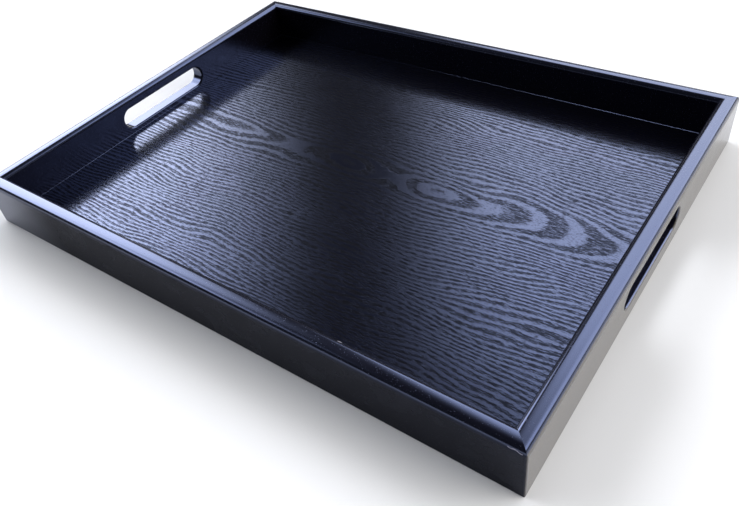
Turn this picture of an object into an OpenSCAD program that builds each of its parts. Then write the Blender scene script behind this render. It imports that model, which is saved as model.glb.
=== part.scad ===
// Shallow rectangular serving tray: four mitred, lacquered rails round a veneered board.
// The long rails lie along X, and each short rail has a hand slot through it.
// The origin is in the middle of the tray, on the surface that it stands on.

/* [Tray] */
// Length over the two short rails
tray_length = 450; // [380:1:560]
// Width over the two long rails
tray_width = 342; // [260:1:440]
// Height of the rails
tray_height = 39.5; // [36:0.5:60]

/* [Rails] */
// Thickness of a rail
rail_thickness = 12; // [10:0.5:16]
// Radius along the outer top edge
outer_edge_radius = 4; // [1:0.25:5]
// Radius along the inner top edge
inner_edge_radius = 3.5; // [1:0.25:4.5]
// Radius along the two bottom edges
bottom_edge_radius = 0.8; // [0.3:0.1:1.5]
// Radius down each outer corner of the frame
corner_radius = 1.5; // [0.5:0.25:3]

/* [Hand slots] */
// Length of a hand slot, over its round ends
slot_length = 93; // [80:1:120]
// Height of a hand slot
slot_height = 17.5; // [15:0.5:20]
// Height of the slot's lower edge above the table
slot_rise = 13; // [12:0.5:16]
// Radius that breaks the slot's edges on both faces of the rail
slot_edge_radius = 1.5; // [0.5:0.25:2.5]

/* [Board] */
// Thickness of the board's core
core_thickness = 3.8; // [3:0.1:5]
// Thickness of the stained face veneer
face_thickness = 0.6; // [0.4:0.1:0.8]
// Thickness of the balancing veneer underneath
backing_thickness = 0.6; // [0.4:0.1:0.8]
// Height of the board's underside above the table
board_rise = 3.5; // [3:0.1:4.5]
// Depth of the groove that holds the board
groove_depth = 5; // [3:0.25:6]
// Gap between the face veneer and the roof of the groove
groove_clearance = 0.1; // [0.05:0.05:0.3]
// Gap between the board's edge and the end of the groove
edge_gap = 0.6; // [0.2:0.1:1]

/* [Corner tongues] */
// Thickness of a tongue
tongue_thickness = 3; // [2:0.5:4]
// Width of a tongue across the mitre
tongue_width = 9; // [6:0.5:10]
// Height of a tongue
tongue_height = 18; // [12:1:20]
// Gap on each flat side of a tongue
tongue_clearance = 0.05; // [0.02:0.01:0.15]
// Gap beyond a tongue's two edges and above it
tongue_end_gap = 0.5; // [0.2:0.1:1]

/* [Hidden] */
$fn = 48;

lacquer = [0.055, 0.05, 0.065];
stained_oak = [0.16, 0.16, 0.2];
stained_backing = [0.12, 0.11, 0.12];
bare_board = [0.62, 0.5, 0.36];
bare_beech = [0.78, 0.63, 0.45];

// How far a cutter runs past the face that it cuts
overrun = 1;

board_thickness = core_thickness + face_thickness + backing_thickness;
groove_height = board_thickness + groove_clearance;
groove_roof = board_rise + groove_height;

inner_length = tray_length - 2 * rail_thickness;
inner_width = tray_width - 2 * rail_thickness;
board_length = inner_length + 2 * (groove_depth - edge_gap);
board_width = inner_width + 2 * (groove_depth - edge_gap);

// Wood left between the groove and the tongue above it
tongue_footing = 2;
tongue_rise = groove_roof + tongue_footing;

// What a rounded edge takes off a square corner: the corner is at the origin, the wood up and right
module rounding_waste(radius) {
    difference() {
        translate([-overrun, -overrun])
            square(radius + overrun);
        translate([radius, radius])
            circle(r = radius);
    }
}

// Takes the corner waste off at each [x, y, turn, radius]
module rounded_at(corners) {
    difference() {
        children();
        for (corner = corners)
            translate([corner[0], corner[1]])
                rotate(corner[2])
                    rounding_waste(corner[3]);
    }
}

// Section of a rail, with its outer face at x = 0 and its height along y
module rail_section() {
    difference() {
        rounded_at([
            [0, 0, 0, bottom_edge_radius],
            [rail_thickness, 0, 90, bottom_edge_radius],
            [rail_thickness, tray_height, 180, inner_edge_radius],
            [0, tray_height, 270, outer_edge_radius]
        ])
            square([rail_thickness, tray_height]);
        translate([rail_thickness - groove_depth, board_rise])
            square([groove_depth + overrun, groove_height]);
    }
}

// Outline of the tray, with its small corner radius
module frame_outline() {
    half_length = tray_length / 2;
    half_width = tray_width / 2;
    rounded_at([
        [-half_length, -half_width, 0, corner_radius],
        [half_length, -half_width, 90, corner_radius],
        [half_length, half_width, 180, corner_radius],
        [-half_length, half_width, 270, corner_radius]
    ])
        square([tray_length, tray_width], center = true);
}

// A tongue, or the blind slot for it, before it is turned to its corner
module tongue_block(thickness, width, height) {
    translate([-thickness / 2, -width / 2, 0])
        cube([thickness, width, height]);
}

// Puts a shape in the middle of one corner's mitre, its x along the mitre and its y across it
module at_corner(side_x, side_y) {
    corner_x = (inner_length + rail_thickness) / 2;
    corner_y = (inner_width + rail_thickness) / 2;
    translate([side_x * corner_x, side_y * corner_y, tongue_rise])
        rotate([0, 0, side_x * side_y * 45])
            children();
}

module tongue(side_x, side_y) {
    at_corner(side_x, side_y)
        tongue_block(tongue_thickness, tongue_width, tongue_height);
}

module tongue_slots() {
    for (side_x = [-1, 1], side_y = [-1, 1])
        at_corner(side_x, side_y)
            tongue_block(tongue_thickness + 2 * tongue_clearance, tongue_width + 2 * tongue_end_gap,
                tongue_height + tongue_end_gap);
}

// A rail with square ends along X, its outer face on the -Y side of a tray of this length and width
module rail_blank(length, width) {
    translate([-length / 2, -width / 2, 0])
        rotate([90, 0, 90])
            linear_extrude(length)
                rail_section();
}

// What the two mitre cuts leave of that rail, seen from above
module mitred_plan(length, width) {
    depth = rail_thickness + overrun;
    translate([0, -width / 2])
        polygon([[-length / 2, 0], [length / 2, 0], [length / 2 - depth, depth], [depth - length / 2, depth]]);
}

// A rail turned to its side of the tray, with its mitres, rounded corners and tongue slots
module mitred_rail(length, width, turn) {
    difference() {
        intersection() {
            rotate([0, 0, turn])
                intersection() {
                    rail_blank(length, width);
                    linear_extrude(tray_height)
                        mitred_plan(length, width);
                }
            linear_extrude(tray_height)
                frame_outline();
        }
        tongue_slots();
    }
}

// Half section of a slot's mouth: x is the distance from the slot's middle, y the depth into the wood
module mouth_section() {
    reach = slot_height / 2 + slot_edge_radius;
    difference() {
        square([reach, slot_edge_radius]);
        translate([reach, slot_edge_radius])
            circle(r = slot_edge_radius);
    }
}

// Mouth of a hand slot, flared in a quarter round all the way along its edge, cutting along +Z
module slot_mouth() {
    straight = slot_length - slot_height;
    for (end = [-1, 1])
        translate([end * straight / 2, 0, 0])
            rotate_extrude()
                mouth_section();
    for (edge = [0, 1])
        mirror([0, edge, 0])
            translate([-straight / 2, 0, 0])
                rotate([90, 0, 90])
                    linear_extrude(straight)
                        mouth_section();
}

// Bore of a hand slot from face to face of the rail, cutting along +Z
module slot_bore() {
    straight = slot_length - slot_height;
    translate([0, 0, -overrun])
        linear_extrude(rail_thickness + 2 * overrun) {
            square([straight, slot_height], center = true);
            for (end = [-1, 1])
                translate([end * straight / 2, 0])
                    circle(d = slot_height);
        }
}

// Hand slot through the short rail on the given side, with both of its edges broken
module hand_slot(side) {
    slot_middle = slot_rise + slot_height / 2;
    translate([side * tray_length / 2, 0, slot_middle])
        rotate([90, 0, -90 * side]) {
            slot_bore();
            slot_mouth();
        }
    translate([side * inner_length / 2, 0, slot_middle])
        rotate([90, 0, 90 * side])
            slot_mouth();
}

module rail_front() {
    color(lacquer)
        mitred_rail(tray_length, tray_width, 0);
}

module rail_back() {
    color(lacquer)
        mitred_rail(tray_length, tray_width, 180);
}

module rail_right() {
    color(lacquer)
        difference() {
            mitred_rail(tray_width, tray_length, 90);
            hand_slot(1);
        }
}

module rail_left() {
    color(lacquer)
        difference() {
            mitred_rail(tray_width, tray_length, -90);
            hand_slot(-1);
        }
}

// One layer of the board, from the given height up
module board_layer(rise, thickness) {
    translate([-board_length / 2, -board_width / 2, rise])
        cube([board_length, board_width, thickness]);
}

module backing_veneer() {
    color(stained_backing)
        board_layer(board_rise, backing_thickness);
}

module panel_core() {
    color(bare_board)
        board_layer(board_rise + backing_thickness, core_thickness);
}

module face_veneer() {
    color(stained_oak)
        board_layer(board_rise + backing_thickness + core_thickness, face_thickness);
}

module tongue_front_left() {
    color(bare_beech)
        tongue(-1, -1);
}

module tongue_front_right() {
    color(bare_beech)
        tongue(1, -1);
}

module tongue_back_left() {
    color(bare_beech)
        tongue(-1, 1);
}

module tongue_back_right() {
    color(bare_beech)
        tongue(1, 1);
}

rail_front();
rail_back();
rail_left();
rail_right();
panel_core();
face_veneer();
backing_veneer();
tongue_front_left();
tongue_front_right();
tongue_back_left();
tongue_back_right();
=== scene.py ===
import math

import bmesh
import bpy
from mathutils import Matrix, Vector


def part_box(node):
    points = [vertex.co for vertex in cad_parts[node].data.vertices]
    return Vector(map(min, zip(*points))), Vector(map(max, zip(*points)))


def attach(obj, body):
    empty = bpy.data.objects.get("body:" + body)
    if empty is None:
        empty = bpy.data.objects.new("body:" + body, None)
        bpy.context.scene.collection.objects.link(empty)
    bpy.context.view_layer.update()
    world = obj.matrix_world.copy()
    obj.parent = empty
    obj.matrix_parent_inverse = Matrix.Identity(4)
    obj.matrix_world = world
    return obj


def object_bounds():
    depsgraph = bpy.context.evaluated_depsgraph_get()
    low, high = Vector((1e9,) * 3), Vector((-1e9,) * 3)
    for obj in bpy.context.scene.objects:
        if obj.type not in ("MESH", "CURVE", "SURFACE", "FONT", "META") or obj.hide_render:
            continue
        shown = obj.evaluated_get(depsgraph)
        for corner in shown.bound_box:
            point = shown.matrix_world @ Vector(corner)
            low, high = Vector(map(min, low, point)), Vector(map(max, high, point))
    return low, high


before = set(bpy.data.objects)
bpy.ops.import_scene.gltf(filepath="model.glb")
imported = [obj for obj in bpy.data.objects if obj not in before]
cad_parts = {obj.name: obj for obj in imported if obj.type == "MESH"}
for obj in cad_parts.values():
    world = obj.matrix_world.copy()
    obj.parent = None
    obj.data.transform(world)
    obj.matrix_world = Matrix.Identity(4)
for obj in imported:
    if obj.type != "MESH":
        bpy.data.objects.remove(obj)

MM = 0.001
cad_low, cad_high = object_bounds()

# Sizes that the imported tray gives
front_low, front_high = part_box("rail_front")
board_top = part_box("face_veneer")[1].z
rail_thickness = front_high.y - front_low.y
half_length = cad_high.x
half_width = cad_high.y
well_half_length = half_length - rail_thickness
well_half_width = half_width - rail_thickness

# The planes of the rails' outer faces and tops, in mm, as the materials measure them
FRONT = -half_width / MM
RIGHT = half_length / MM
TOP = front_high.z / MM


class Shade:
    """A socket that varies over a surface, and that sums are written with as they are with numbers."""

    def __init__(self, nodes, socket):
        self.nodes = nodes
        self.socket = socket

    def maths(self, operation, *values):
        return self.nodes.add("ShaderNodeMath", {"operation": operation}, dict(enumerate(values)))

    def __add__(self, other):
        return self.maths("ADD", self, other)

    def __radd__(self, other):
        return self.maths("ADD", other, self)

    def __sub__(self, other):
        return self.maths("SUBTRACT", self, other)

    def __rsub__(self, other):
        return self.maths("SUBTRACT", other, self)

    def __mul__(self, other):
        return self.maths("MULTIPLY", self, other)

    def __rmul__(self, other):
        return self.maths("MULTIPLY", other, self)

    def __truediv__(self, other):
        return self.maths("DIVIDE", self, other)

    def __pow__(self, other):
        return self.maths("POWER", self, other)

    def sine(self):
        return self.maths("SINE", self)

    def size(self):
        return self.maths("ABSOLUTE", self)

    def part(self):
        return self.maths("FRACT", self)

    def hill(self, middle, reach):
        """1 at the middle, falling to nothing a little beyond the reach on both sides."""
        away = (self - middle) / reach
        return self.maths("EXPONENT", 0 - away * away)

    def rise(self, start, end):
        """0 up to the start, 1 from the end on, and a smooth step between them."""
        values = {0: self, 1: start, 2: end, 3: 0.0, 4: 1.0}
        if start > end:
            values = {0: self, 1: end, 2: start, 3: 1.0, 4: 0.0}
        return self.nodes.add("ShaderNodeMapRange", {"interpolation_type": "SMOOTHSTEP"}, values)


class Nodes:
    """Adds the nodes of one material, or of the room's light."""

    def __init__(self, tree):
        self.tree = tree
        tree.nodes.clear()

    def add(self, kind, settings=None, values=None, output=0):
        """Adds a node. Its settings come first, then what its sockets hold or are fed by."""
        node = self.tree.nodes.new(kind)
        for name, value in (settings or {}).items():
            setattr(node, name, value)
        for name, value in (values or {}).items():
            if isinstance(value, Shade):
                self.tree.links.new(value.socket, node.inputs[name])
            else:
                node.inputs[name].default_value = value
        return Shade(self, node.outputs[output]) if node.outputs else None

    def place(self):
        """The point on the tray, as lengths along x, y and z in millimetres."""
        point = self.add("ShaderNodeTexCoord", output=3)
        apart = [self.add("ShaderNodeSeparateXYZ", None, {0: point}, axis) for axis in range(3)]
        return [axis * 1000.0 for axis in apart]

    def point(self, x, y, z):
        return self.add("ShaderNodeCombineXYZ", None, {0: x, 1: y, 2: z})

    def noise(self, x, y, z, detail=2.0, roughness=0.5):
        """Cloudy noise from 0 to 1, one lump to each unit."""
        values = {"Vector": self.point(x, y, z), "Scale": 1.0, "Detail": detail, "Roughness": roughness}
        return self.add("ShaderNodeTexNoise", None, values)

    def blend(self, factor, first, second):
        """The first colour where the factor is 0, and the second where it is 1."""
        values = {0: factor, 6: first, 7: second}
        return self.add("ShaderNodeMix", {"data_type": "RGBA"}, values, 2)

    def relief(self, height, depth_mm):
        """A surface's small unevenness, from a height and the depth that a height of 1 stands for."""
        values = {"Strength": 1.0, "Distance": depth_mm * MM, "Height": height}
        return self.add("ShaderNodeBump", None, values)


def colour(red, green, blue):
    return (red, green, blue, 1.0)


# The lacquer on the rails and on the board mirrors strongly, with a violet cast
LACQUER_IOR = 1.95
LACQUER_CAST = colour(0.50, 0.60, 1.0)
# Where the lacquer hardly shines: at the bottom of an open pore, and as painted shade on the outer face of
# the front rail, made dull and darker in place of the shadowed floor that it would mirror
DULL = {"Base Color": colour(0.0016, 0.0015, 0.0026), "Roughness": 0.6, "Specular IOR Level": 0.03}


def finish(name, build):
    """A procedural material. The build fills in the shader's sockets, and "dull" where it hardly shines."""
    material = bpy.data.materials.new(name)
    material.use_nodes = True
    nodes = Nodes(material.node_tree)
    sockets = build(nodes)
    dull = sockets.pop("dull", None)
    shader = nodes.add("ShaderNodeBsdfPrincipled", None, sockets)
    if dull is not None:
        matt = nodes.add("ShaderNodeBsdfPrincipled", None, DULL)
        shader = nodes.add("ShaderNodeMixShader", None, {0: dull, 1: shader, 2: matt})
    nodes.add("ShaderNodeOutputMaterial", None, {"Surface": shader})
    return material


# How much lower the tops of the rails seem at their edges than in the middle, in mm
TOP_EASE = 0.75
# The chip under the outer edge at the right end of the front rail: both ends and its height, in mm
CHIP_START = RIGHT - 11.5
CHIP_END = RIGHT - 2.0
CHIP_HEIGHT = TOP - 1.9
# The bright speck on the inner edge of the front rail, as x and y in mm
SPECK = (109.0, FRONT + 10.6)


def rail_lacquer(nodes):
    """Satin black lacquer over filled wood, rubbed through in two places on the front rail."""
    x, y, z = nodes.place()
    tone = nodes.noise(x / 60.0, y / 60.0, z / 25.0)
    skin = nodes.noise(x / 2.2, y / 2.2, z / 2.2, 1.0)
    fibre = nodes.noise(x / 14.0, y / 14.0, z / 1.1, 2.0)
    smear = nodes.noise(x / 18.0 + 7.0, y / 18.0, z / 12.0, 3.0)
    dust = nodes.noise(x / 0.7, y / 0.7, z / 0.7, 0.0).rise(0.76, 0.8)

    # The light on the tops falls off from their middle to both edges
    from_end = RIGHT - x.size()
    from_side = -FRONT - y.size()
    inward = from_end.maths("MINIMUM", from_end, from_side)
    across = inward / (rail_thickness / MM / 2) - 1.0
    ease = (1.0 - across * across) * z.rise(TOP - 4.5, TOP - 3.5) * TOP_EASE

    chip_line = CHIP_HEIGHT - (x - CHIP_START) * 0.06 + (x * 1.1).sine() * 0.25
    chip = (z - chip_line).hill(0.0, 0.3) * x.rise(CHIP_START, CHIP_START + 1.5)
    chip = chip * x.rise(CHIP_END, CHIP_END - 1.0) * y.rise(FRONT + 1.5, FRONT + 0.8)
    speck = x.hill(SPECK[0], 1.9) * y.hill(SPECK[1], 0.55) * z.rise(TOP - 3.5, TOP - 2.0)
    worn = (chip + speck).rise(0.35, 0.75)

    # The outer face of the front rail, all but its left end, is painted shade: made dull and darker in
    # place of the shadowed floor that it would mirror
    outer_face = y.rise(FRONT + 1.0, FRONT + 0.2)
    painted_front_shade = outer_face * x.rise(10.0 - RIGHT, 90.0 - RIGHT) * (0.86 - smear * 0.16)
    base = nodes.blend(tone, colour(0.0020, 0.0018, 0.0040), colour(0.0045, 0.0038, 0.0062))
    # The outer face of the right rail is painted pale and warm: a painted reflection of the lit floor
    # beside it
    painted_floor_reflection = x.rise(RIGHT - 1.2, RIGHT - 0.2) * (0.7 + smear * 0.5)
    base = nodes.blend(painted_floor_reflection, base, colour(0.150, 0.130, 0.090))
    base = nodes.blend(dust * 0.35, base, colour(0.05, 0.046, 0.05))
    return {
        "Base Color": nodes.blend(worn, base, colour(0.24, 0.22, 0.24)),
        "Roughness": 0.12 + smear * 0.08 + dust * 0.2 + worn * 0.35,
        # Painted shade on the front rail's outer face, left off where the lacquer is rubbed through
        "dull": painted_front_shade * (1.0 - worn),
        "IOR": LACQUER_IOR,
        "Specular Tint": LACQUER_CAST,
        "Normal": nodes.relief(ease + skin * 0.0024 + fibre * 0.0016, 1.0),
    }


# Growth rings of the face veneer, in mm: wide at the heart line, and close along the two sides
HEART_LINE = 8.0
HEART_PITCH = 8.5
SIDE_PITCH = 5.4
HEART_WIDTH = 30.0
# The tongues that follow each other along the heart line towards the right end, and their number
TONGUES_START = 62.0
TONGUES_END = 232.0
TONGUES = 5.2
# Swells that close the rings into eyes between them: [middle, rings, half length]
SWELLS = [[26.0, 1.6, 24.0], [-72.0, 1.4, 36.0]]
# Ring that the heart line itself lies in
HEART_RING = 0.35


def rings(nodes, x, y):
    """Which growth ring a point of the face veneer is in, counted from the heart of the board."""
    drift = nodes.noise(x / 80.0, y / 36.0, 3.0, 1.0) - 0.5
    waver = nodes.noise(x / 22.0, y / 8.0, 9.0, 1.0) - 0.5
    # The lines below the heart slope up towards the right end
    lift = x.rise(70.0, 210.0) * y.rise(4.0, -45.0) * 17.0 * y.rise(-110.0, -60.0)
    away = (y - HEART_LINE - lift + drift * 20.0 + waver * 1.6).size()
    wide = (away * away + HEART_WIDTH * HEART_WIDTH) ** 0.5 - HEART_WIDTH
    across = away / HEART_PITCH + wide / SIDE_PITCH
    along = x + drift * 46.0 + waver * 6.0
    reached = (along - TONGUES_START) / (TONGUES_END - TONGUES_START)
    depth = reached.maths("MAXIMUM", reached, 0.0) * TONGUES + HEART_RING
    for middle, taken, reach in SWELLS:
        depth = depth + along.hill(middle, reach) * taken
    return (across * across + depth * depth) ** 0.5


def oak_pores(nodes, x, y):
    """Open pores: short dashes along the grain, crowded into the early wood of each ring."""
    streak = nodes.noise(x / 6.4, y / 0.6, 0.0, 2.0, 0.6)
    fine = nodes.noise(x / 3.0, y / 0.4, 5.0, 1.0)
    ring = rings(nodes, x, y) + (streak - 0.5) * 0.55
    phase = ring.part()
    early = phase.rise(0.0, 0.08) * phase.rise(0.78, 0.48)
    patchy = nodes.noise(x / 45.0, y / 22.0, 2.0) * 0.12
    large = (streak + early * 0.17 + patchy).rise(0.655, 0.73)
    small = (fine + early * 0.13 + patchy * 0.5).rise(0.63, 0.71) * 0.8
    return early, large.maths("MAXIMUM", large, small)


def stained_face(nodes):
    """Black-stained oak veneer with its pores left open under thin lacquer."""
    x, y, z = nodes.place()
    early, pores = oak_pores(nodes, x, y)
    tone = nodes.noise(x / 55.0, y / 18.0, 1.0)
    smear = nodes.noise(x / 30.0, y / 22.0, 4.0, 3.0)
    ripple = nodes.noise(x / 9.0, y / 1.3, 6.0, 2.0)
    dust = nodes.noise(x / 0.8, y / 0.8, 8.0, 0.0).rise(0.79, 0.82)
    wood = nodes.blend(tone, colour(0.0010, 0.0010, 0.0034), colour(0.0020, 0.0021, 0.0056))
    wood = nodes.blend(pores, wood, DULL["Base Color"])
    height = 0.75 - pores * 0.5 - early * 0.05 + ripple * 0.12
    return {
        "Base Color": nodes.blend(dust * 0.5, wood, colour(0.07, 0.07, 0.085)),
        "Roughness": 0.095 + smear * 0.06 + early * 0.03,
        "dull": pores * 0.85,
        "IOR": LACQUER_IOR,
        "Specular Tint": LACQUER_CAST,
        "Normal": nodes.relief(height, 0.014),
    }


def stained_backing(nodes):
    """Plain stained veneer underneath, duller than the face and with fewer pores."""
    x, y, z = nodes.place()
    early, pores = oak_pores(nodes, x * 0.8 + 60.0, y * 1.2 + 70.0)
    tone = nodes.noise(x / 40.0, y / 12.0, 11.0, 3.0)
    scuff = nodes.noise(x / 5.0 + y / 9.0, y / 30.0, 13.0, 3.0).rise(0.62, 0.75)
    wood = nodes.blend(tone, colour(0.008, 0.007, 0.008), colour(0.018, 0.015, 0.015))
    wood = nodes.blend(pores, wood, colour(0.004, 0.0035, 0.004))
    return {
        "Base Color": nodes.blend(scuff * 0.4, wood, colour(0.04, 0.034, 0.03)),
        "Roughness": 0.45 + tone * 0.12 + pores * 0.25,
        "IOR": 1.5,
        "Normal": nodes.relief(0.8 - pores * 0.6 + scuff * 0.1, 0.08),
    }


def pale_wood(name, light, dark, line_mm):
    """Bare wood inside the joints, which only a cut tray would show."""
    def build(nodes):
        x, y, z = nodes.place()
        line = nodes.noise(x / 12.0, y / line_mm, z / line_mm, 3.0)
        fleck = nodes.noise(x / 2.0, y / 0.5, z / 2.0, 1.0).rise(0.62, 0.7)
        return {
            "Base Color": nodes.blend(fleck * 0.5, nodes.blend(line, light, dark), dark),
            "Roughness": 0.6 + line * 0.15,
            "Normal": nodes.relief(line, 0.05),
        }
    return finish(name, build)


def give(node, material):
    """Puts a material on a CAD piece, whose shape stays as it is."""
    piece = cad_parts[node]
    piece.data.materials.clear()
    piece.data.materials.append(material)


lacquer = finish("satin_black_lacquer", rail_lacquer)
face = finish("black_stained_oak", stained_face)
backing = finish("stained_backing_veneer", stained_backing)
core = pale_wood("bare_core_board", colour(0.62, 0.47, 0.3), colour(0.4, 0.27, 0.16), 2.5)
beech = pale_wood("bare_beech", colour(0.7, 0.52, 0.36), colour(0.5, 0.33, 0.2), 1.5)

for side in ("front", "back", "left", "right"):
    give("rail_" + side, lacquer)
give("face_veneer", face)
give("backing_veneer", backing)
give("panel_core", core)
for corner in ("front_left", "front_right", "back_left", "back_right"):
    give("tongue_" + corner, beech)


def lacquer_bead():
    """The small fillet of lacquer that runs round the board where it meets the four rails."""
    size = 0.22 * MM
    sunk = 0.015 * MM
    steps = 5
    section = []
    for step in range(steps + 1):
        turn = math.radians(90 * step / steps)
        section.append((size * (1 - math.sin(turn)), size * (1 - math.cos(turn))))
    mesh = bmesh.new()
    loops = []
    for inward, up in [(size, -sunk), *section, (-sunk, size)]:
        height = board_top + up
        reach_x = well_half_length - inward
        reach_y = well_half_width - inward
        turned = [(-reach_x, -reach_y), (reach_x, -reach_y), (reach_x, reach_y), (-reach_x, reach_y)]
        loops.append([mesh.verts.new((px, py, height)) for px, py in turned])
    loops.append([mesh.verts.new((v.co.x, v.co.y, board_top - sunk)) for v in loops[-1]])
    for lower, upper in zip(loops, loops[1:] + loops[:1]):
        for corner in range(4):
            after = (corner + 1) % 4
            facet = mesh.faces.new((lower[corner], lower[after], upper[after], upper[corner]))
            facet.smooth = True
    bmesh.ops.recalc_face_normals(mesh, faces=mesh.faces)
    data = bpy.data.meshes.new("lacquer_bead")
    mesh.to_mesh(data)
    mesh.free()
    bead = bpy.data.objects.new("lacquer_bead", data)
    bpy.context.scene.collection.objects.link(bead)
    data.materials.append(lacquer)
    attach(bead, "root")


lacquer_bead()


def pale_floor():
    """A wide pale table, a hair below the tray."""
    reach = 12.0
    gap = 0.2 * MM
    data = bpy.data.meshes.new("floor")
    corners = [(-reach, -reach, 0), (reach, -reach, 0), (reach, reach, 0), (-reach, reach, 0)]
    data.from_pydata(corners, [], [(0, 1, 2, 3)])
    floor = bpy.data.objects.new("floor", data)
    floor.location.z = -gap
    bpy.context.scene.collection.objects.link(floor)

    def build(nodes):
        x, y, z = nodes.place()
        cloud = nodes.noise(x / 400.0, y / 400.0, 0.0)
        return {
            "Base Color": nodes.blend(cloud, colour(0.84, 0.825, 0.795), colour(0.87, 0.855, 0.825)),
            "Roughness": 0.85,
            "Specular IOR Level": 0.1,
        }

    data.materials.append(finish("pale_table", build))


# Strengths of the two windows
LEFT_WINDOW = 7.2
BACK_WINDOW = 3.8


def room_light():
    """The room round the tray: windows on the left and behind it, a dim ceiling and a pale horizon."""
    world = bpy.data.worlds.new("room")
    bpy.context.scene.world = world
    world.use_nodes = True
    nodes = Nodes(world.node_tree)
    towards = nodes.add("ShaderNodeTexCoord")
    dx, dy, dz = [nodes.add("ShaderNodeSeparateXYZ", None, {0: towards}, axis) for axis in range(3)]
    up = dz.maths("MAXIMUM", dz, 0.02)
    # How far a direction leans to the right and to the back, for each length that it goes up
    right = dx / up
    back = dy / up

    # The left window is mirrored by the board's left half, and the wide one behind by its right half
    left_across = right + back.maths("MAXIMUM", back, 0.55) / 1.5
    left_window = left_across.rise(-0.27, -0.92) * (back + right * 0.5).rise(0.85, 0.2)
    left_window = left_window * back.rise(-1.3, -0.5)
    back_across = right + back / 1.6
    back_window = back_across.rise(-0.19, 0.2) * (back - right).rise(2.85, 2.4)
    back_window = back_window * back.rise(0.35, 0.95) * (right - back).rise(1.6, 0.6)
    windows = left_window * LEFT_WINDOW + back_window * BACK_WINDOW
    glow = 0.05 + dz.rise(0.16, 0.0) * 0.10 + windows * dz.rise(0.1, 0.24)

    # The camera sees a white room, and so do mirrored rays that go out below the horizon
    camera, glossy, through = [nodes.add("ShaderNodeLightPath", output=ray) for ray in (0, 3, 6)]
    room = nodes.add("ShaderNodeBackground", None, {0: colour(0.92, 0.96, 1.06), 1: glow})
    backdrop = nodes.add("ShaderNodeBackground", None, {0: colour(1.0, 1.0, 1.0), 1: 1.0})
    white = camera + (glossy + through) * dz.rise(0.10, 0.0)
    shown = nodes.add("ShaderNodeMixShader", None, {0: white, 1: room, 2: backdrop})
    nodes.add("ShaderNodeOutputWorld", None, {"Surface": shown})


# Side of each soft lamp, in metres
LAMP_SIZE = 1.6


def soft_lamp(name, place, aim, watts, tint):
    """A soft lamp for the table, which the lacquer doesn't mirror."""
    data = bpy.data.lights.new(name, "AREA")
    data.shape = "SQUARE"
    data.size = LAMP_SIZE
    data.energy = watts
    data.color = tint
    lamp = bpy.data.objects.new(name, data)
    lamp.location = place
    lamp.rotation_mode = "QUATERNION"
    lamp.rotation_quaternion = (Vector(aim) - Vector(place)).to_track_quat("-Z", "Y")
    lamp.visible_glossy = False
    lamp.visible_camera = False
    bpy.context.scene.collection.objects.link(lamp)


def photographer():
    """The camera where the photograph was taken from, in metres."""
    data = bpy.data.cameras.new("camera")
    data.sensor_width = 36.0
    data.lens = 34.80
    data.clip_start = 0.01
    right = Vector((0.81234, 0.57296, -0.10873))
    down = Vector((0.32581, -0.60050, -0.73024))
    ahead = Vector((-0.48369, 0.55778, -0.67449))
    turn = Matrix((right, -down, -ahead)).transposed()
    camera = bpy.data.objects.new("camera", data)
    camera.rotation_mode = "QUATERNION"
    camera.rotation_quaternion = turn.to_quaternion()
    camera.location = (0.29353, -0.33802, 0.33307)
    bpy.context.scene.collection.objects.link(camera)
    bpy.context.scene.camera = camera


pale_floor()
room_light()
soft_lamp("right_lamp", (2.5, 0.8, 1.7), (0.1, 0.0, 0.0), 42.0, (1.0, 0.97, 0.93))
soft_lamp("left_lamp", (-1.8, 1.8, 1.9), (-0.1, 0.1, 0.0), 6.0, (1.0, 0.98, 0.96))
photographer()
bpy.context.scene.view_settings.view_transform = "Standard"
